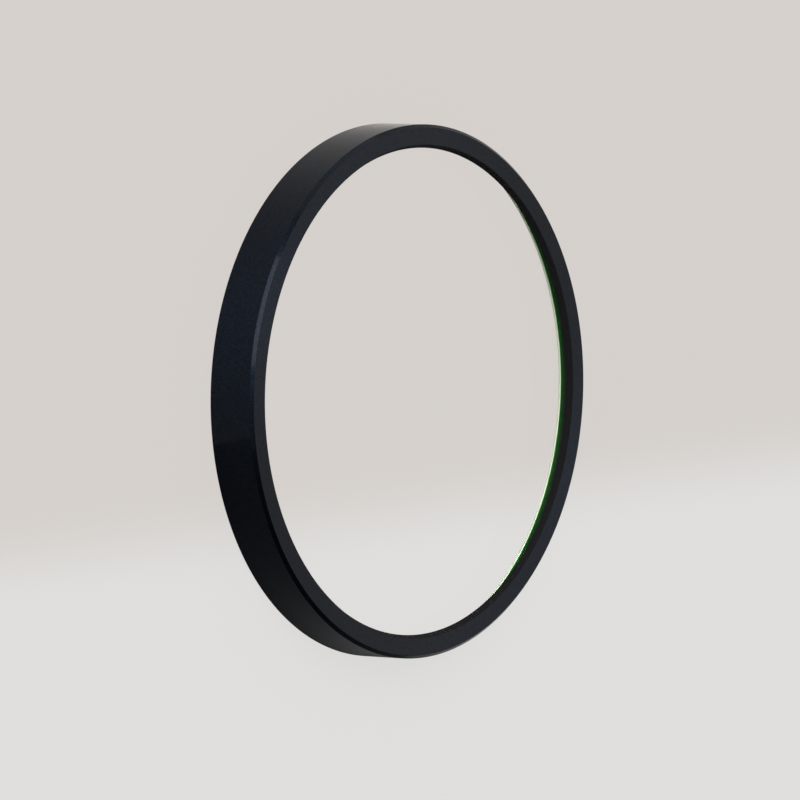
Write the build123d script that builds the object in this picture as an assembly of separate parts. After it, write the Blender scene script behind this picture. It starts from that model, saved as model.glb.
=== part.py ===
from build123d import *
from math import degrees
import os

# A round optical filter in its own ring. The frame is turned from one piece of aluminium, with
# a lip at the front. The glass disc drops in from the rear and seats against the lip, and a split
# ring of flat spring wire snaps into a groove behind the disc and holds it there.
# The filter lies on its rear face at z = 0 with the front face up, and Z is the optical axis.
# All lengths are in millimetres.

# Frame
outer_diameter = 50.0
seat_wall = 0.4  # radial thickness of the barrel beside the glass
lip_thickness = 0.6
lip_overlap = 1.75  # how far the lip reaches in over the glass
front_edge_break = 0.3
rear_edge_break = 0.1
aperture_taper = 0.25  # by which the aperture opens towards the front
aperture_land = 0.1  # height of the straight part of the aperture, next to the glass
aperture_edge_break = 0.05
seat_corner_radius = 0.08  # left by the nose of the turning tool
seat_lead_in = 0.1  # opens the mouth of the seat, so that the retaining ring closes as it goes in

# Glass
glass_thickness = 4.0
glass_clearance = 0.05  # radial gap between the glass and its seat
corner_clearance = 0.04  # by which the bevel of the glass clears the corner of the seat

# Retaining ring and the groove it springs into
rear_land = 0.15  # height of the shoulder that is left below the groove
groove_depth = 0.15
groove_play = 0.05  # by which the groove is higher than the ring
ring_height = 0.25
ring_land = 0.08  # how far the ring reaches in past the bevel, over the flat of the glass
ring_clearance = 0.05  # radial gap between the ring and the bottom of its groove
ring_edge_break = 0.04
ring_gap = 2.5  # between the two ends of the ring

# Radii, from the outside inwards
outer_radius = outer_diameter / 2
seat_radius = outer_radius - seat_wall
groove_radius = seat_radius + groove_depth
ring_outer_radius = groove_radius - ring_clearance
glass_radius = seat_radius - glass_clearance
glass_bevel = seat_corner_radius + corner_clearance
ring_inner_radius = glass_radius - glass_bevel - ring_land
aperture_radius = glass_radius - lip_overlap
aperture_front_radius = aperture_radius + aperture_taper

# Heights, from the rear face upwards
glass_rear = rear_land + ring_height
groove_front = glass_rear + groove_play
glass_front = glass_rear + glass_thickness
frame_height = glass_front + lip_thickness


def section(*corners):
    """Half section, as a face with the radius along X and the height along Y."""
    return make_face(Polyline(*corners, close=True))


def corner(face, radius, height):
    """The vertex of a half section at a radius and a height."""
    return face.vertices().sort_by_distance((radius, height))[0]


def turned(face, arc=360):
    """The solid that a half section sweeps about the optical axis, from +X towards +Y."""
    return revolve(Plane.XZ * face, Axis.Z, arc)


def filter_frame():
    """Barrel, front lip, glass seat and retaining groove, turned from one piece."""
    face = section(
        (outer_radius, 0),
        (outer_radius, frame_height),
        (aperture_front_radius, frame_height),
        (aperture_radius, glass_front + aperture_land),
        (aperture_radius, glass_front),
        (seat_radius, glass_front),
        (seat_radius, groove_front),
        (groove_radius, groove_front),
        (groove_radius, rear_land),
        (seat_radius, rear_land),
        (seat_radius, 0),
    )
    face = chamfer(corner(face, outer_radius, frame_height), front_edge_break)
    face = chamfer(corner(face, outer_radius, 0), rear_edge_break)
    face = chamfer(corner(face, aperture_front_radius, frame_height), aperture_edge_break)
    face = chamfer(corner(face, seat_radius, 0), seat_lead_in)
    face = fillet(corner(face, seat_radius, glass_front), seat_corner_radius)
    return turned(face)


def filter_glass():
    """Coated disc with both rims bevelled."""
    face = section(
        (0, glass_rear),
        (glass_radius, glass_rear),
        (glass_radius, glass_front),
        (0, glass_front),
    )
    face = chamfer(corner(face, glass_radius, glass_rear), glass_bevel)
    face = chamfer(corner(face, glass_radius, glass_front), glass_bevel)
    return turned(face)


def retaining_ring():
    """Split ring of flat spring wire with broken edges. Its ends face each other across -X."""
    face = section(
        (ring_inner_radius, rear_land),
        (ring_outer_radius, rear_land),
        (ring_outer_radius, glass_rear),
        (ring_inner_radius, glass_rear),
    )
    face = chamfer(face.vertices(), ring_edge_break)
    gap_angle = degrees(ring_gap / ring_outer_radius)
    return Rot(Z=gap_angle / 2 - 180) * turned(face, 360 - gap_angle)


parts = {
    "filter_frame": filter_frame(),
    "filter_glass": filter_glass(),
    "retaining_ring": retaining_ring(),
}

os.makedirs("parts", exist_ok=True)
for name, part in parts.items():
    export_step(part, f"parts/{name}.step")
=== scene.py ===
"""Looks of a round UV and IR cut filter: a coated glass disc in a black anodised ring.

The file is laid out as an add-on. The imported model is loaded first, and each operator then builds
one piece of the filter around it, or the stage. Every length is in metres.
"""

import math

import bmesh
import bpy
from bpy.props import FloatProperty, FloatVectorProperty, IntProperty, PointerProperty
from mathutils import Matrix, Vector


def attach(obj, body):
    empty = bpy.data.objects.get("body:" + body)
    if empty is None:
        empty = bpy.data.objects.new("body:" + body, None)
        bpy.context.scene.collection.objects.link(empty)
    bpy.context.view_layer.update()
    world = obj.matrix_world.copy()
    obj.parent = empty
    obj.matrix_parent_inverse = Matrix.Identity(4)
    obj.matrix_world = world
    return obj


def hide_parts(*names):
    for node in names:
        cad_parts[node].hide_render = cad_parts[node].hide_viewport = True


bl_info = {
    "name": "Mounted Optical Filter",
    "version": (1, 0, 0),
    "blender": (4, 5, 0),
    "location": "View3D > Sidebar > Filter",
    "description": "Builds a ring-mounted optical filter with its finishes, and a plain stage",
    "category": "Object",
}

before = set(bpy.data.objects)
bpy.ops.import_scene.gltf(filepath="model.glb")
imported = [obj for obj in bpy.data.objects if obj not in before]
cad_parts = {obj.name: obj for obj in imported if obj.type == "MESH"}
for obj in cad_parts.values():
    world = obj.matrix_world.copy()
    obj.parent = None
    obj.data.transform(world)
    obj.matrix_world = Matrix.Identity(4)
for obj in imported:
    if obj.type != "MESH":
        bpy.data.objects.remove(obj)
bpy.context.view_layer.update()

MM = 0.001
FULL_TURN = 2 * math.pi
SAME_PLACE = 0.02 * MM  # vertices of the frame nearer than this share a radius or a height
GLASS_IOR = 1.517
GLOW_SHARE = 0.93  # how much of the floor's light comes through it from below, for eye and glass
MIRRORED_GLOW_SHARE = 0.2  # and for metal, which mirrors the shadow at the foot of the barrel
# Across the line on the floor where its painted light falloff turns: the warm, darker far part
# turns into the lighter near part
NEARER = (0.078, -1.0, 0.0)
TURN_START = 6 * MM
TURN_END = 17 * MM
# The camera stands at the front left and is rolled, so that the lying ring shows upright
CAMERA_PLACE = Vector((-0.877674, 0.023860, 0.703636))
CAMERA_FORWARD = Vector((0.78110, -0.022005, -0.624018))
CAMERA_RIGHT = Vector((0.62441, 0.027528, 0.780615))
CAMERA_UP = Vector((0.0, 0.99938, -0.035242))


def linear_colour(code):
    """Linear RGB of an sRGB hex colour such as #2a2d30."""
    channels = [int(code[i : i + 2], 16) / 255 for i in (1, 3, 5)]
    return tuple(c / 12.92 if c <= 0.04045 else ((c + 0.055) / 1.055) ** 2.4 for c in channels)


def outline_of(node):
    """Radius and height of every vertex of a node of the frame, all of them turned about Z."""
    return [(math.hypot(v.co.x, v.co.y), v.co.z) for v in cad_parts[node].data.vertices]


def smallest(values):
    return round(min(values), 8)


def largest(values):
    return round(max(values), 8)


barrel_outline = outline_of("filter_frame")
disc_outline = outline_of("filter_glass")
keeper_outline = outline_of("retaining_ring")

OUTER_RADIUS = largest(r for r, z in barrel_outline)
APERTURE_RADIUS = smallest(r for r, z in barrel_outline)
FRONT_HEIGHT = largest(z for r, z in barrel_outline)
FRONT_FACE_RADII = [r for r, z in barrel_outline if z > FRONT_HEIGHT - SAME_PLACE]
APERTURE_HEIGHTS = [z for r, z in barrel_outline if r < APERTURE_RADIUS + SAME_PLACE]
APERTURE_LAND_TOP = largest(APERTURE_HEIGHTS)
# The aperture widens from its land up to the broken edge of the front face
WITHIN_FACE = [p for p in barrel_outline if p[0] < smallest(FRONT_FACE_RADII) - SAME_PLACE]
TAPER_TOP = max(WITHIN_FACE, key=lambda point: point[1])
REAR_FACE_RADII = [r for r, z in barrel_outline if z < SAME_PLACE]
GLASS_RADIUS = largest(r for r, z in disc_outline)
GLASS_FRONT = largest(z for r, z in disc_outline)
GLASS_REAR = smallest(z for r, z in disc_outline)
GLASS_SIDE_TOP = largest(z for r, z in disc_outline if r > GLASS_RADIUS - SAME_PLACE)
KEEPER_OUTER_RADIUS = largest(r for r, z in keeper_outline)
KEEPER_INNER_RADIUS = smallest(r for r, z in keeper_outline)
KEEPER_REAR = smallest(z for r, z in keeper_outline)
KEEPER_FRONT = largest(z for r, z in keeper_outline)
KEEPER_REAR_RADII = [r for r, z in keeper_outline if z < KEEPER_REAR + SAME_PLACE]
# The two ends of the retaining ring face each other across -X
KEEPER_POINTS = [v.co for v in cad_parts["retaining_ring"].data.vertices]
KEEPER_HALF_GAP = math.pi - largest(abs(math.atan2(p.y, p.x)) for p in KEEPER_POINTS)
# Inside the barrel, below the front bevel of the glass: the seat and the groove
INSIDE = [(r, z) for r, z in barrel_outline if r < largest(REAR_FACE_RADII) and z > SAME_PLACE]
BORE = [(r, z) for r, z in INSIDE if z < GLASS_SIDE_TOP]
SEAT_RADIUS = smallest(r for r, z in BORE)
GROOVE_RADIUS = largest(r for r, z in BORE)
GROOVE_HEIGHTS = [z for r, z in BORE if r > GROOVE_RADIUS - SAME_PLACE]
GROOVE_REAR = smallest(GROOVE_HEIGHTS)
GROOVE_FRONT = largest(GROOVE_HEIGHTS)


class FilterSizes(bpy.types.PropertyGroup):
    """Sizes of the filter, most of them read from the frame, and how finely it is cut"""

    segments: IntProperty(
        name="Segments",
        description="Facets round each turned piece",
        default=480,
        min=48,
    )
    front_break: FloatProperty(
        name="Front edge break",
        description="Width of the chamfer round the front face",
        default=OUTER_RADIUS - largest(FRONT_FACE_RADII),
        unit="LENGTH",
    )
    aperture_land: FloatProperty(
        name="Aperture land",
        description="Height of the straight part of the aperture, next to the glass",
        default=APERTURE_LAND_TOP - GLASS_FRONT,
        unit="LENGTH",
    )
    rear_break: FloatProperty(
        name="Rear edge break",
        description="Width of the chamfer round the rear face",
        default=OUTER_RADIUS - largest(REAR_FACE_RADII),
        unit="LENGTH",
    )
    seat_lead_in: FloatProperty(
        name="Seat lead-in",
        description="Width of the chamfer at the mouth of the seat",
        default=smallest(REAR_FACE_RADII) - SEAT_RADIUS,
        unit="LENGTH",
    )
    glass_bevel: FloatProperty(
        name="Glass bevel",
        description="Width of the bevel round both rims of the disc",
        default=GLASS_FRONT - GLASS_SIDE_TOP,
        unit="LENGTH",
    )
    keeper_break: FloatProperty(
        name="Retaining ring edge break",
        description="Width of the broken edges of the spring wire",
        default=smallest(KEEPER_REAR_RADII) - KEEPER_INNER_RADIUS,
        unit="LENGTH",
    )
    keeper_half_gap: FloatProperty(
        name="Retaining ring half gap",
        description="Angle from the middle of the gap to either end of the retaining ring",
        default=KEEPER_HALF_GAP,
        unit="ROTATION",
    )
    metal_rounding: FloatProperty(
        name="Metal rounding",
        description="Radius that blasting and anodising leave on the turned edges",
        default=0.035 * MM,
        unit="LENGTH",
    )
    keeper_rounding: FloatProperty(
        name="Retaining ring rounding",
        description="Radius that drawing leaves on the edges of the spring wire",
        default=0.03 * MM,
        unit="LENGTH",
    )
    glass_rounding: FloatProperty(
        name="Glass rounding",
        description="Radius that polishing leaves on the edges of the disc",
        default=0.015 * MM,
        unit="LENGTH",
    )


class FilterColours(bpy.types.PropertyGroup):
    """Colours of the finishes"""

    anodised_dark: FloatVectorProperty(
        name="Anodised, dark grain",
        description="Black dye in the hollows of the blasted surface",
        default=linear_colour("#0b1119"),
        subtype="COLOR",
    )
    anodised_light: FloatVectorProperty(
        name="Anodised, light grain",
        description="Blue-black of the raised grain",
        default=linear_colour("#171f2a"),
        subtype="COLOR",
    )
    # Both glass edge colours are painted light and shade: the dark one is painted shade, and the
    # green one is painted light near the rear rim and on the wheel marks
    edge_dark: FloatVectorProperty(
        name="Glass edge, dark",
        description="Ground edge of the disc, where it takes the least light",
        default=linear_colour("#000b02"),
        subtype="COLOR",
    )
    edge_light: FloatVectorProperty(
        name="Glass edge, green",
        description="Ground edge of the disc, along the grinding marks that catch light",
        default=linear_colour("#00560a"),
        subtype="COLOR",
    )
    wire: FloatVectorProperty(
        name="Spring wire",
        description="Bright steel with a faint green cast",
        default=linear_colour("#d3dfc8"),
        subtype="COLOR",
    )
    floor: FloatVectorProperty(
        name="Floor",
        description="Warm pale grey of the floor and the backdrop",
        default=linear_colour("#d5d0cc"),
        subtype="COLOR",
    )
    # Painted light falloff: the floor is painted lighter in front of the filter and darker and
    # warmer behind it
    floor_near: FloatVectorProperty(
        name="Floor, near",
        description="Lighter and more neutral grey of the floor in front of the filter",
        default=linear_colour("#dfdedc"),
        subtype="COLOR",
    )


class StageSettings(bpy.types.PropertyGroup):
    """Lens of the camera, floor, lights and cards"""

    lens: FloatProperty(
        name="Lens",
        description="Focal length in millimetres on a 36 mm sensor",
        default=540.0,
    )
    floor_size: FloatProperty(
        name="Floor size",
        description="Side of the square floor",
        default=6.0,
        unit="LENGTH",
    )
    sky_level: FloatProperty(
        name="Sky level",
        description="Strength of the even light from all round, where 1 is white",
        default=0.3,
    )
    softbox_distance: FloatProperty(
        name="Softbox distance",
        description="From the filter to the key and side softboxes",
        default=1.3,
        unit="LENGTH",
    )
    key_azimuth: FloatProperty(
        name="Key azimuth",
        description="Direction of the key softbox round the filter",
        default=math.radians(143),
        unit="ROTATION",
    )
    key_elevation: FloatProperty(
        name="Key elevation",
        description="Height of the key softbox over the floor",
        default=math.radians(50),
        unit="ROTATION",
    )
    key_size: FloatProperty(
        name="Key size",
        description="Side of the key softbox",
        default=0.8,
        unit="LENGTH",
    )
    key_power: FloatProperty(
        name="Key power",
        description="Light that the key softbox gives",
        default=16.0,
        subtype="POWER",
    )
    side_azimuth: FloatProperty(
        name="Side azimuth",
        description="Direction of the side softbox round the filter",
        default=math.radians(78),
        unit="ROTATION",
    )
    side_elevation: FloatProperty(
        name="Side elevation",
        description="Height of the side softbox over the floor",
        default=math.radians(24),
        unit="ROTATION",
    )
    side_size: FloatProperty(
        name="Side size",
        description="Side of the side softbox",
        default=0.9,
        unit="LENGTH",
    )
    side_power: FloatProperty(
        name="Side power",
        description="Light that the side softbox gives",
        default=3.0,
        subtype="POWER",
    )
    fill_distance: FloatProperty(
        name="Fill distance",
        description="From the filter to the small fill softbox",
        default=0.4,
        unit="LENGTH",
    )
    fill_azimuth: FloatProperty(
        name="Fill azimuth",
        description="Direction of the fill softbox round the filter",
        default=math.radians(15),
        unit="ROTATION",
    )
    fill_elevation: FloatProperty(
        name="Fill elevation",
        description="Height of the fill softbox over the floor",
        default=math.radians(38),
        unit="ROTATION",
    )
    fill_size: FloatProperty(
        name="Fill size",
        description="Side of the fill softbox",
        default=0.3,
        unit="LENGTH",
    )
    fill_power: FloatProperty(
        name="Fill power",
        description="Light that the fill softbox gives",
        default=0.2,
        subtype="POWER",
    )
    flag_distance: FloatProperty(
        name="Flag distance",
        description="From the filter to the black card on its -Y side",
        default=0.4,
        unit="LENGTH",
    )
    flag_left: FloatProperty(
        name="Flag left",
        description="Left end of the black card",
        default=-1.0,
        unit="LENGTH",
    )
    flag_right: FloatProperty(
        name="Flag right",
        description="Right end of the black card",
        default=0.6,
        unit="LENGTH",
    )
    flag_height: FloatProperty(
        name="Flag height",
        description="Height of the black card",
        default=0.9,
        unit="LENGTH",
    )
    flag_shade: FloatProperty(
        name="Flag shade",
        description="How much light the black card returns",
        default=0.02,
    )
    # The grey card on the floor is a painted shadow at the foot of the barrel, seen only in the
    # metal's reflections
    card_start: FloatProperty(
        name="Card start",
        description="Direction in which the grey card on the floor starts",
        default=math.radians(192),
        unit="ROTATION",
    )
    card_step: FloatProperty(
        name="Card step",
        description="Angle that each straight bit of the grey card spans",
        default=math.radians(4),
        unit="ROTATION",
    )
    card_steps: IntProperty(
        name="Card steps",
        description="How many straight bits the grey card has",
        default=26,
        min=1,
    )
    card_radius: FloatProperty(
        name="Card radius",
        description="Outer radius of the grey card on the floor",
        default=60 * MM,
        unit="LENGTH",
    )
    card_shade: FloatProperty(
        name="Card shade",
        description="How much light the grey card on the floor returns",
        default=0.3,
    )


def add_node(tree, kind, inputs=None, links=None, **settings):
    """Add a node of one kind with its settings, its constant inputs and its links."""
    node = tree.nodes.new(kind)
    for name, value in settings.items():
        setattr(node, name, value)
    for name, value in (inputs or {}).items():
        node.inputs[name].default_value = value
    for name, socket in (links or {}).items():
        tree.links.new(socket, node.inputs[name])
    return node


def new_material(name):
    """An empty node material and its tree."""
    material = bpy.data.materials.new(name)
    material.use_nodes = True
    material.node_tree.nodes.clear()
    return material, material.node_tree


def colour_ramp(node, dark, light):
    """Set a colour ramp to run between two (position, colour) stops."""
    for element, (position, colour) in zip(node.color_ramp.elements, (dark, light)):
        element.position = position
        element.color = (*colour, 1)


def per_metre(size):
    """Scale of a texture whose features have a real size in metres."""
    return 1 / size


def any_ray(tree, *kinds):
    """Output that is 1 for rays of any of these kinds of the Light Path node."""
    path = add_node(tree, "ShaderNodeLightPath")
    found = path.outputs[kinds[0]]
    for kind in kinds[1:]:
        either = add_node(
            tree, "ShaderNodeMath", links={0: found, 1: path.outputs[kind]}, operation="MAXIMUM"
        )
        found = either.outputs["Value"]
    return found


def bead_blasted_black_anodised_aluminium(colours):
    """Aluminium turned, blasted with fine beads and dyed black: a matt blue-black that reflects
    little head-on and turns pale grey at a glancing angle, with a fine even grain."""
    material, tree = new_material("bead_blasted_black_anodised_aluminium")
    place = add_node(tree, "ShaderNodeTexCoord")
    # Craters of 0.05 mm beads are too fine to show, so they are drawn three times as wide
    grain = add_node(
        tree,
        "ShaderNodeTexNoise",
        {"Scale": per_metre(0.16 * MM), "Detail": 3.0, "Roughness": 0.6},
        {"Vector": place.outputs["Object"]},
    )
    dye = add_node(tree, "ShaderNodeValToRGB", links={"Fac": grain.outputs["Fac"]})
    colour_ramp(dye, (0.38, colours.anodised_dark), (0.62, colours.anodised_light))
    craters = add_node(
        tree,
        "ShaderNodeBump",
        {"Strength": 0.35, "Distance": 0.02 * MM},
        {"Height": grain.outputs["Fac"]},
    )
    # The turning tool left rings round the axis, across which a highlight spreads further
    rings = add_node(tree, "ShaderNodeTangent", direction_type="RADIAL", axis="Z")
    surface = add_node(
        tree,
        "ShaderNodeBsdfPrincipled",
        {
            "Metallic": 1.0,
            "Roughness": 0.5,
            "Anisotropic": 0.8,
            "Anisotropic Rotation": 0.25,
            "Specular Tint": (0.9, 0.9, 0.9, 1),
            "Coat Weight": 1.0,
            "Coat Roughness": 0.1,
            "Coat IOR": 1.12,
        },
        {
            "Base Color": dye.outputs["Color"],
            "Normal": craters.outputs["Normal"],
            "Tangent": rings.outputs["Tangent"],
        },
    )
    add_node(tree, "ShaderNodeOutputMaterial", links={"Surface": surface.outputs["BSDF"]})
    return material


def matt_black_stray_light_paint():
    """Matt black paint on the turned taper of the aperture, which keeps stray light out of the
    glass: almost no gloss, so it stays black even at a glancing angle."""
    material, tree = new_material("matt_black_stray_light_paint")
    surface = add_node(
        tree,
        "ShaderNodeBsdfPrincipled",
        {"Base Color": (0.006, 0.006, 0.007, 1), "Roughness": 0.8, "Specular IOR Level": 0.1},
    )
    add_node(tree, "ShaderNodeOutputMaterial", links={"Surface": surface.outputs["BSDF"]})
    return material


def drawn_and_tumbled_spring_steel(colours):
    """Spring wire drawn and then tumbled to a soft satin: it takes up the pale floor and the lamps
    evenly, as one thin light line, a little green through the glass in front of it."""
    material, tree = new_material("drawn_and_tumbled_spring_steel")
    surface = add_node(
        tree,
        "ShaderNodeBsdfPrincipled",
        {"Base Color": (*colours.wire, 1), "Metallic": 1.0, "Roughness": 0.75},
    )
    add_node(tree, "ShaderNodeOutputMaterial", links={"Surface": surface.outputs["BSDF"]})
    return material


def polished_coated_optical_glass():
    """Crown glass, polished flat and coated against reflections: nearly unseen, with a faint
    mirror only at a glancing angle."""
    material, tree = new_material("polished_coated_optical_glass")
    # The power weakens the mirror of bare glass where the coating works, close to head-on
    bare = add_node(tree, "ShaderNodeFresnel", {"IOR": GLASS_IOR})
    coated = add_node(tree, "ShaderNodeMath", {1: 1.9}, {0: bare.outputs["Fac"]}, operation="POWER")
    bend = add_node(tree, "ShaderNodeBsdfRefraction", {"Roughness": 0.0, "IOR": GLASS_IOR})
    mirror = add_node(tree, "ShaderNodeBsdfGlossy", {"Roughness": 0.0})
    glass = add_node(
        tree,
        "ShaderNodeMixShader",
        links={0: coated.outputs["Value"], 1: bend.outputs["BSDF"], 2: mirror.outputs["BSDF"]},
    )
    # Lamps shine straight through, so that the floor under the disc is lit
    lamp_light = any_ray(tree, "Is Shadow Ray", "Is Diffuse Ray")
    clear = add_node(tree, "ShaderNodeBsdfTransparent", {"Color": (1, 1, 1, 1)})
    lit = add_node(
        tree,
        "ShaderNodeMixShader",
        links={
            0: lamp_light,
            1: glass.outputs["Shader"],
            2: clear.outputs["BSDF"],
        },
    )
    add_node(tree, "ShaderNodeOutputMaterial", links={"Surface": lit.outputs["Shader"]})
    return material


def ground_green_glass_edge(colours):
    """Edge of the disc, ground and left matt and green. Its colour holds painted light: lighter
    next to the rear rim and darker towards the front, a painted glow of the floor's light entering
    from below, and fine rings of painted highlight where the marks of the wheel would catch light."""
    material, tree = new_material("ground_green_glass_edge")
    place = add_node(tree, "ShaderNodeTexCoord")
    along = add_node(
        tree,
        "ShaderNodeMapping",
        {"Scale": (0.02, 0.02, 1.0)},
        {"Vector": place.outputs["Object"]},
    )
    # Marks of the wheel are too fine to show, so they are drawn 0.3 mm apart, and the lighter green
    # on them is a painted highlight
    marks = add_node(
        tree,
        "ShaderNodeTexNoise",
        {"Scale": per_metre(0.3 * MM), "Detail": 2.0},
        {"Vector": along.outputs["Vector"]},
    )
    height = add_node(tree, "ShaderNodeSeparateXYZ", links={"Vector": place.outputs["Object"]})
    # Painted light: the green is lightest at the rear rim, where the floor's light would enter, and
    # fades to painted shade 1.1 mm towards the front
    painted_floor_light = add_node(
        tree,
        "ShaderNodeMapRange",
        {"From Min": GLASS_REAR, "From Max": GLASS_REAR + 1.1 * MM, "To Min": 1.0, "To Max": 0.0},
        {"Value": height.outputs["Z"]},
    )
    marks_and_glint_share = add_node(
        tree,
        "ShaderNodeMapRange",
        {"From Min": 0.3, "From Max": 0.7, "To Min": 0.55, "To Max": 1.0},
        {"Value": marks.outputs["Fac"]},
    )
    painted_light_share = add_node(
        tree,
        "ShaderNodeMath",
        links={0: painted_floor_light.outputs["Result"], 1: marks_and_glint_share.outputs["Result"]},
        operation="MULTIPLY",
    )
    green = add_node(tree, "ShaderNodeValToRGB", links={"Fac": painted_light_share.outputs["Value"]})
    colour_ramp(green, (0.15, colours.edge_dark), (0.9, colours.edge_light))
    surface = add_node(
        tree,
        "ShaderNodeBsdfPrincipled",
        {"Roughness": 0.6, "Specular IOR Level": 0.1},
        {"Base Color": green.outputs["Color"]},
    )
    add_node(tree, "ShaderNodeOutputMaterial", links={"Surface": surface.outputs["BSDF"]})
    return material


def opal_acrylic_lit_from_below(colours):
    """Opal acrylic sheet over a light box: even and pale, with a painted light falloff that is
    darker and warm at the back and lighter and neutral in front, and the shadow of what lies on it
    stays faint."""
    material, tree = new_material("opal_acrylic_lit_from_below")
    place = add_node(tree, "ShaderNodeTexCoord")
    across = add_node(
        tree,
        "ShaderNodeVectorMath",
        {1: NEARER},
        {0: place.outputs["Object"]},
        operation="DOT_PRODUCT",
    )
    # Painted light falloff along NEARER, from 0 at the back to 1 in front
    painted_falloff = add_node(
        tree,
        "ShaderNodeMapRange",
        {"From Min": TURN_START, "From Max": TURN_END},
        {"Value": across.outputs["Value"]},
        interpolation_type="SMOOTHERSTEP",
    )
    tint = add_node(tree, "ShaderNodeValToRGB", links={"Fac": painted_falloff.outputs["Result"]})
    colour_ramp(tint, (0.0, colours.floor), (1.0, colours.floor_near))
    direct = any_ray(tree, "Is Camera Ray", "Is Transmission Ray")
    mirrored = add_node(
        tree,
        "ShaderNodeMath",
        {1: MIRRORED_GLOW_SHARE},
        {0: any_ray(tree, "Is Glossy Ray")},
        operation="MULTIPLY",
    )
    glow_share = add_node(
        tree,
        "ShaderNodeMath",
        {1: GLOW_SHARE},
        {0: direct, 2: mirrored.outputs["Value"]},
        operation="MULTIPLY_ADD",
    )
    lit = add_node(tree, "ShaderNodeBsdfDiffuse", links={"Color": tint.outputs["Color"]})
    glow = add_node(tree, "ShaderNodeEmission", links={"Color": tint.outputs["Color"]})
    both = add_node(
        tree,
        "ShaderNodeMixShader",
        links={0: glow_share.outputs["Value"], 1: lit.outputs["BSDF"], 2: glow.outputs["Emission"]},
    )
    add_node(tree, "ShaderNodeOutputMaterial", links={"Surface": both.outputs["Shader"]})
    return material


def rounded(corners, rounding, steps=4):
    """Closed outline of (radius, height) points in which small arcs replace the corners.

    A corner on the axis stays as it is. A point is added beside each end of an arc, so that the
    flats between them shade flat."""
    outline = []
    for index, corner in enumerate(corners):
        here = Vector(corner)
        if here.x == 0:
            outline.append(here)
            continue
        back = Vector(corners[index - 1]) - here
        onward = Vector(corners[(index + 1) % len(corners)]) - here
        opening = back.angle(onward)
        reach = min(rounding / math.tan(opening / 2), back.length / 3, onward.length / 3)
        back.normalize()
        onward.normalize()
        middle = here + (back + onward).normalized() * reach / math.cos(opening / 2)
        first = here + back * reach - middle
        last = here + onward * reach - middle
        sweep = math.pi - opening
        support = min(reach, SAME_PLACE)
        outline.append(here + back * (reach + support))
        for step in range(steps + 1):
            part = sweep * step / steps
            arm = first * math.sin(sweep - part) + last * math.sin(part)
            outline.append(middle + arm / math.sin(sweep))
        outline.append(here + onward * (reach + support))
    return outline


def turned_mesh(name, outline, segments, finish_of=None, half_gap=0.0):
    """Mesh of a closed outline swept about Z, from one side of a gap at -X round to the other.

    A point at radius 0 stays one vertex, and with a gap both ends are closed."""
    shape = bmesh.new()
    poles = {p.y: shape.verts.new((0, 0, p.y)) for p in outline if p.x == 0}
    places = segments + 1 if half_gap else segments
    rings = []
    for place in range(places):
        angle = half_gap - math.pi + (FULL_TURN - 2 * half_gap) * place / segments
        across = Vector((math.cos(angle), math.sin(angle), 0))
        up = Vector((0, 0, 1))
        ring = [shape.verts.new(across * p.x + up * p.y) if p.x else poles[p.y] for p in outline]
        rings.append(ring)
    for turn in range(segments):
        here = rings[turn]
        there = rings[(turn + 1) % places]
        for index, point in enumerate(outline):
            after = (index + 1) % len(outline)
            corners = dict.fromkeys((here[index], here[after], there[after], there[index]))
            if len(corners) < 3:
                continue
            face = shape.faces.new(corners)
            face.smooth = True
            if finish_of:
                face.material_index = finish_of(point, outline[after])
    if half_gap:
        shape.faces.new(rings[0])
        shape.faces.new(rings[-1])
    bmesh.ops.recalc_face_normals(shape, faces=shape.faces)
    mesh = bpy.data.meshes.new(name)
    shape.to_mesh(mesh)
    shape.free()
    return mesh


def add_piece(name, mesh, node, slot, *materials):
    """Put a mesh in the scene in place of a node of the frame."""
    for material in materials:
        mesh.materials.append(material)
    piece = bpy.data.objects.new(name, mesh)
    bpy.context.scene.collection.objects.link(piece)
    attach(piece, "root")
    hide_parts(node)
    return piece


def material_once(make, *arguments):
    """The material of a function that makes one, made at its first use."""
    return bpy.data.materials.get(make.__name__) or make(*arguments)


class FILTER_OT_barrel(bpy.types.Operator):
    """Turned barrel with the front lip, the seat of the glass and the groove behind it"""

    bl_idname = "filter.barrel"
    bl_label = "Barrel"

    def execute(self, context):
        sizes = context.scene.filter_sizes
        corners = (
            (OUTER_RADIUS - sizes.rear_break, 0),
            (OUTER_RADIUS, sizes.rear_break),
            (OUTER_RADIUS, FRONT_HEIGHT - sizes.front_break),
            (OUTER_RADIUS - sizes.front_break, FRONT_HEIGHT),
            (smallest(FRONT_FACE_RADII), FRONT_HEIGHT),
            TAPER_TOP,
            (APERTURE_RADIUS, GLASS_FRONT + sizes.aperture_land),
            (APERTURE_RADIUS, GLASS_FRONT),
            (SEAT_RADIUS, GLASS_FRONT),
            (SEAT_RADIUS, GROOVE_FRONT),
            (GROOVE_RADIUS, GROOVE_FRONT),
            (GROOVE_RADIUS, GROOVE_REAR),
            (SEAT_RADIUS, GROOVE_REAR),
            (SEAT_RADIUS, sizes.seat_lead_in),
            (SEAT_RADIUS + sizes.seat_lead_in, 0),
        )
        outline = rounded(corners, sizes.metal_rounding)

        def finish_of(point, after):
            """1, for paint, inside the front face, and 0 elsewhere."""
            return int(max(point.x, after.x) < smallest(FRONT_FACE_RADII) + SAME_PLACE / 2)

        mesh = turned_mesh("barrel", outline, sizes.segments, finish_of)
        metal = material_once(bead_blasted_black_anodised_aluminium, context.scene.filter_colours)
        paint = material_once(matt_black_stray_light_paint)
        add_piece("barrel", mesh, "filter_frame", "black_anodised", metal, paint)
        return {"FINISHED"}


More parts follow.
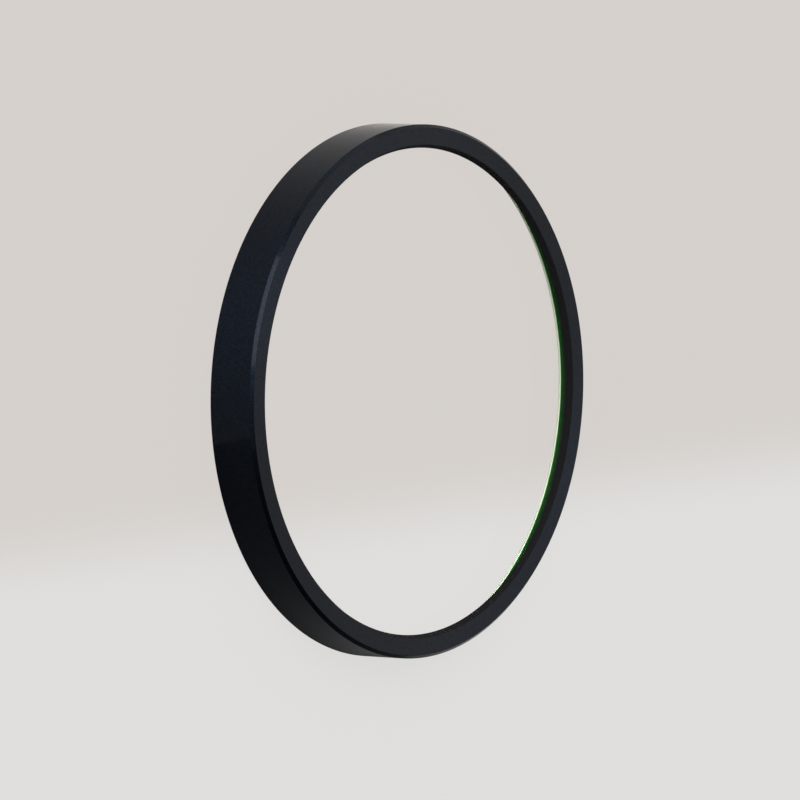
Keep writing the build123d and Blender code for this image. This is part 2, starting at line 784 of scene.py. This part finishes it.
class FILTER_OT_glass_disc(bpy.types.Operator):
    """Coated disc with both rims bevelled and its edge ground"""

    bl_idname = "filter.glass_disc"
    bl_label = "Glass disc"

    def execute(self, context):
        sizes = context.scene.filter_sizes
        bevel = sizes.glass_bevel
        corners = (
            (0, GLASS_REAR),
            (GLASS_RADIUS - bevel, GLASS_REAR),
            (GLASS_RADIUS, GLASS_REAR + bevel),
            (GLASS_RADIUS, GLASS_FRONT - bevel),
            (GLASS_RADIUS - bevel, GLASS_FRONT),
            (0, GLASS_FRONT),
        )
        outline = rounded(corners, sizes.glass_rounding)

        def finish_of(point, after):
            """1, for ground glass, on the side and the bevels, and 0 on the two flats."""
            return int(min(point.x, after.x) > GLASS_RADIUS - bevel - SAME_PLACE / 2)

        mesh = turned_mesh("glass_disc", outline, sizes.segments, finish_of)
        glass = material_once(polished_coated_optical_glass)
        edge = material_once(ground_green_glass_edge, context.scene.filter_colours)
        add_piece("glass_disc", mesh, "filter_glass", "coated_glass", glass, edge)
        return {"FINISHED"}


class FILTER_OT_retaining_ring(bpy.types.Operator):
    """Split ring of flat spring wire that snaps into the groove behind the disc"""

    bl_idname = "filter.retaining_ring"
    bl_label = "Retaining ring"

    def execute(self, context):
        sizes = context.scene.filter_sizes
        broken = sizes.keeper_break
        corners = (
            (KEEPER_INNER_RADIUS + broken, KEEPER_REAR),
            (KEEPER_OUTER_RADIUS - broken, KEEPER_REAR),
            (KEEPER_OUTER_RADIUS, KEEPER_REAR + broken),
            (KEEPER_OUTER_RADIUS, KEEPER_FRONT - broken),
            (KEEPER_OUTER_RADIUS - broken, KEEPER_FRONT),
            (KEEPER_INNER_RADIUS + broken, KEEPER_FRONT),
            (KEEPER_INNER_RADIUS, KEEPER_FRONT - broken),
            (KEEPER_INNER_RADIUS, KEEPER_REAR + broken),
        )
        outline = rounded(corners, sizes.keeper_rounding)
        mesh = turned_mesh("keeper", outline, sizes.segments, half_gap=sizes.keeper_half_gap)
        wire = material_once(drawn_and_tumbled_spring_steel, context.scene.filter_colours)
        add_piece("keeper", mesh, "retaining_ring", "spring_steel", wire)
        return {"FINISHED"}


def camera_matrix():
    """Place and turn of the camera."""
    turn = Matrix((CAMERA_RIGHT, CAMERA_UP, -CAMERA_FORWARD)).transposed()
    return Matrix.Translation(CAMERA_PLACE) @ turn.to_4x4()


def flat_shape(*points):
    """One flat face through the points."""
    shape = bmesh.new()
    shape.faces.new([shape.verts.new(point) for point in points])
    return shape


def mesh_from(name, shape, material):
    """Mesh of one material, made from a shape that isn't needed any more."""
    mesh = bpy.data.meshes.new(name)
    shape.to_mesh(mesh)
    shape.free()
    mesh.materials.append(material)
    return mesh


class FILTER_OT_stage(bpy.types.Operator):
    """Pale floor, three softboxes, two cards that only metal mirrors, one of them a painted shadow
    at the foot of the barrel, and the camera
    """

    bl_idname = "filter.stage"
    bl_label = "Stage"

    def execute(self, context):
        scene = context.scene
        settings = scene.filter_stage
        scene.view_settings.view_transform = "Standard"
        half = settings.floor_size / 2
        board = flat_shape((-half, -half, 0), (half, -half, 0), (half, half, 0), (-half, half, 0))
        acrylic = material_once(opal_acrylic_lit_from_below, scene.filter_colours)
        floor = bpy.data.objects.new("floor", mesh_from("floor", board, acrylic))
        scene.collection.objects.link(floor)

        scene.world = studio_world(settings, scene.filter_colours)
        add_softbox(settings, "key", settings.softbox_distance)
        add_softbox(settings, "side", settings.softbox_distance)
        add_softbox(settings, "fill", settings.fill_distance)
        add_flag(settings)
        add_floor_card(settings)

        data = bpy.data.cameras.new("camera")
        data.lens = settings.lens
        data.sensor_width = 36.0
        camera = bpy.data.objects.new("camera", data)
        camera.matrix_world = camera_matrix()
        scene.collection.objects.link(camera)
        scene.camera = camera
        return {"FINISHED"}


def studio_world(settings, colours):
    """Even light from all round, behind which eye, metal and glass see a pale backdrop."""
    world = bpy.data.worlds.new("studio")
    world.use_nodes = True
    tree = world.node_tree
    tree.nodes.clear()
    seen = any_ray(tree, "Is Camera Ray", "Is Glossy Ray", "Is Transmission Ray")
    light = add_node(
        tree,
        "ShaderNodeBackground",
        {"Color": (1, 1, 1, 1), "Strength": settings.sky_level},
    )
    backdrop = add_node(
        tree,
        "ShaderNodeBackground",
        {"Color": (*colours.floor, 1), "Strength": 1.0},
    )
    both = add_node(
        tree,
        "ShaderNodeMixShader",
        links={
            0: seen,
            1: light.outputs["Background"],
            2: backdrop.outputs["Background"],
        },
    )
    add_node(tree, "ShaderNodeOutputWorld", links={"Surface": both.outputs["Shader"]})
    return world


def towards(azimuth, elevation):
    """Unit vector from the origin, with the azimuth turned from +X towards +Y."""
    level = math.cos(elevation)
    return Vector((level * math.cos(azimuth), level * math.sin(azimuth), math.sin(elevation)))


def add_softbox(settings, name, distance):
    """Square softbox that shines at the filter, from the settings that start with its name."""
    lamp = bpy.data.lights.new(name + "_softbox", "AREA")
    lamp.shape = "SQUARE"
    lamp.size = getattr(settings, name + "_size")
    lamp.energy = getattr(settings, name + "_power")
    azimuth = getattr(settings, name + "_azimuth")
    elevation = getattr(settings, name + "_elevation")
    place = towards(azimuth, elevation) * distance
    turn = place.to_track_quat("Z", "Y").to_matrix()
    softbox = bpy.data.objects.new(name + "_softbox", lamp)
    softbox.matrix_world = Matrix.Translation(place) @ turn.to_4x4()
    bpy.context.scene.collection.objects.link(softbox)


def add_card(name, shape, shade):
    """Card of one grey that only metal mirrors: the eye passes it and it takes no light away."""
    material, tree = new_material(name)
    surface = add_node(tree, "ShaderNodeBsdfDiffuse", {"Color": (shade, shade, shade, 1)})
    add_node(tree, "ShaderNodeOutputMaterial", links={"Surface": surface.outputs["BSDF"]})
    card = bpy.data.objects.new(name, mesh_from(name, shape, material))
    bpy.context.scene.collection.objects.link(card)
    card.visible_camera = False
    card.visible_transmission = False
    card.visible_diffuse = False
    card.visible_shadow = False


def add_flag(settings):
    """Black card that stands beside the filter and darkens its near side."""
    y = -settings.flag_distance
    left = settings.flag_left
    right = settings.flag_right
    top = settings.flag_height
    shape = flat_shape((left, y, 0), (right, y, 0), (right, y, top), (left, y, top))
    add_card("black_card", shape, settings.flag_shade)


def add_floor_card(settings):
    """Grey card cut round and laid at the foot of the barrel, on its near side: a painted shadow
    that only metal mirrors, which darkens the reflection in the lower side of the barrel's wall.
    """
    shape = bmesh.new()
    lift = Vector((0, 0, 0.01 * MM))
    pairs = []
    for step in range(settings.card_steps + 1):
        across = towards(settings.card_start + settings.card_step * step, 0)
        inner = shape.verts.new(across * OUTER_RADIUS + lift)
        outer = shape.verts.new(across * settings.card_radius + lift)
        pairs.append((inner, outer))
    for here, there in zip(pairs, pairs[1:]):
        shape.faces.new((here[0], here[1], there[1], there[0]))
    add_card("grey_card", shape, settings.card_shade)


class FILTER_PT_build(bpy.types.Panel):
    """Sizes, colours and pieces of the filter"""

    bl_label = "Mounted optical filter"
    bl_idname = "FILTER_PT_build"
    bl_space_type = "VIEW_3D"
    bl_region_type = "UI"
    bl_category = "Filter"

    def draw(self, context):
        layout = self.layout
        for name in PROPERTIES:
            group = getattr(context.scene, name)
            for key in group.bl_rna.properties.keys():
                if key not in ("rna_type", "name"):
                    layout.prop(group, key)
        for operator in PIECE_OPERATORS:
            layout.operator(operator.bl_idname)


PROPERTIES = {
    "filter_sizes": FilterSizes,
    "filter_colours": FilterColours,
    "filter_stage": StageSettings,
}
PIECE_OPERATORS = (
    FILTER_OT_barrel,
    FILTER_OT_glass_disc,
    FILTER_OT_retaining_ring,
    FILTER_OT_stage,
)


def register():
    for group in PROPERTIES.values():
        bpy.utils.register_class(group)
    for operator in PIECE_OPERATORS:
        bpy.utils.register_class(operator)
    bpy.utils.register_class(FILTER_PT_build)
    for name, group in PROPERTIES.items():
        setattr(bpy.types.Scene, name, PointerProperty(type=group))


def unregister():
    for name in PROPERTIES:
        delattr(bpy.types.Scene, name)
    bpy.utils.unregister_class(FILTER_PT_build)
    for operator in PIECE_OPERATORS:
        bpy.utils.unregister_class(operator)
    for group in PROPERTIES.values():
        bpy.utils.unregister_class(group)


def main():
    register()
    bpy.ops.filter.barrel()
    bpy.ops.filter.glass_disc()
    bpy.ops.filter.retaining_ring()
    bpy.ops.filter.stage()


if __name__ == "__main__":
    main()
